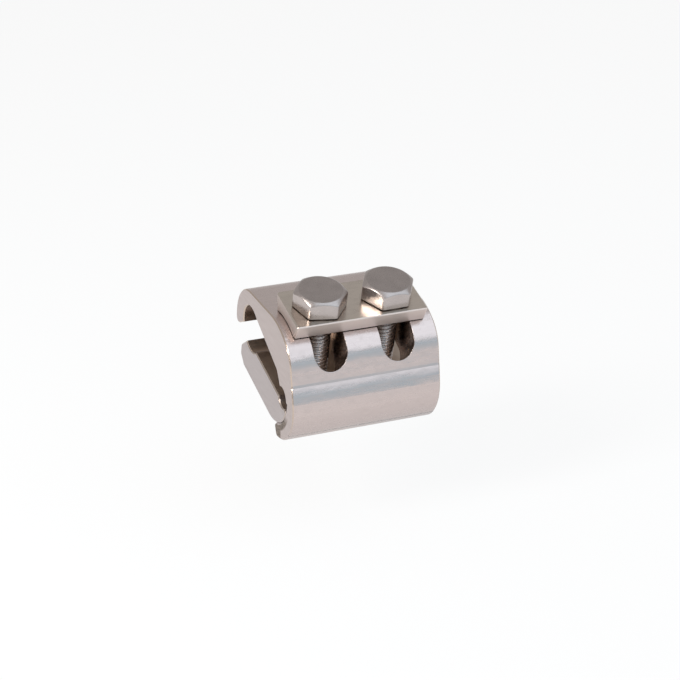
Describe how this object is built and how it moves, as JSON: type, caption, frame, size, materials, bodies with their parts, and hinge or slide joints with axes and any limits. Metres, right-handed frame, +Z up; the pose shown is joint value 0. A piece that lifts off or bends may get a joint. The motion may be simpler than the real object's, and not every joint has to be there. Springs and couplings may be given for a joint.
{
  "type": "parallel groove clamp",
  "caption": "Extruded aluminium clamp that joins a tap wire to a line conductor side by side, with a swinging saddle and jaw drawn together by hexagon bolts.",
  "frame": {"origin": "on the axis of the main groove, at the middle of the clamp's length", "axes": "+X along both conductors, +Y to the back, towards the mouth of the main groove, +Z up, towards the bolt heads"},
  "size_m": [0.0426, 0.046, 0.0444],
  "materials": {
    "body_aluminium": "extruded and polished, light satin",
    "jaw_aluminium": "extruded, satin",
    "plate_aluminium": "extruded, satin, sawn ends",
    "bolt_stainless": "cold forged stainless, satin"
  },
  "bodies": {
    "body": {"front_body": "body_aluminium"},
    "saddle": {"saddle_plate": "plate_aluminium"},
    "jaw": {"lower_jaw": "jaw_aluminium"},
    "bolt_left": {"clamp_bolt_left": "bolt_stainless"},
    "bolt_right": {"clamp_bolt_right": "bolt_stainless"}
  },
  "joints": [
    {"name": "saddle_swing", "type": "hinge", "parent": "body", "child": "saddle", "pos_m": [0, -0.0165, -0.008], "axis": [1, 0, 0], "range_deg": [-2, 12]},
    {"name": "bolt_left_turn", "type": "hinge", "parent": "saddle", "child": "bolt_left", "pos_m": [-0.0096, -0.02236, 0.01419], "axis": [0, -0.2554, 0.9668], "range_deg": [-576, 0]},
    {"name": "bolt_right_turn", "type": "hinge", "parent": "saddle", "child": "bolt_right", "pos_m": [0.0096, -0.02236, 0.01419], "axis": [0, -0.2554, 0.9668], "range_deg": [-576, 0]},
    {"name": "jaw_slide", "type": "slide", "parent": "saddle", "child": "jaw", "axis": [0, -0.2554, 0.9668], "range_m": [0, 0.002]}
  ],
  "couplings": [
    {"joint": "bolt_left_turn", "follows": "jaw_slide", "rad_per_m": -5026.5},
    {"joint": "bolt_right_turn", "follows": "jaw_slide", "rad_per_m": -5026.5}
  ]
}
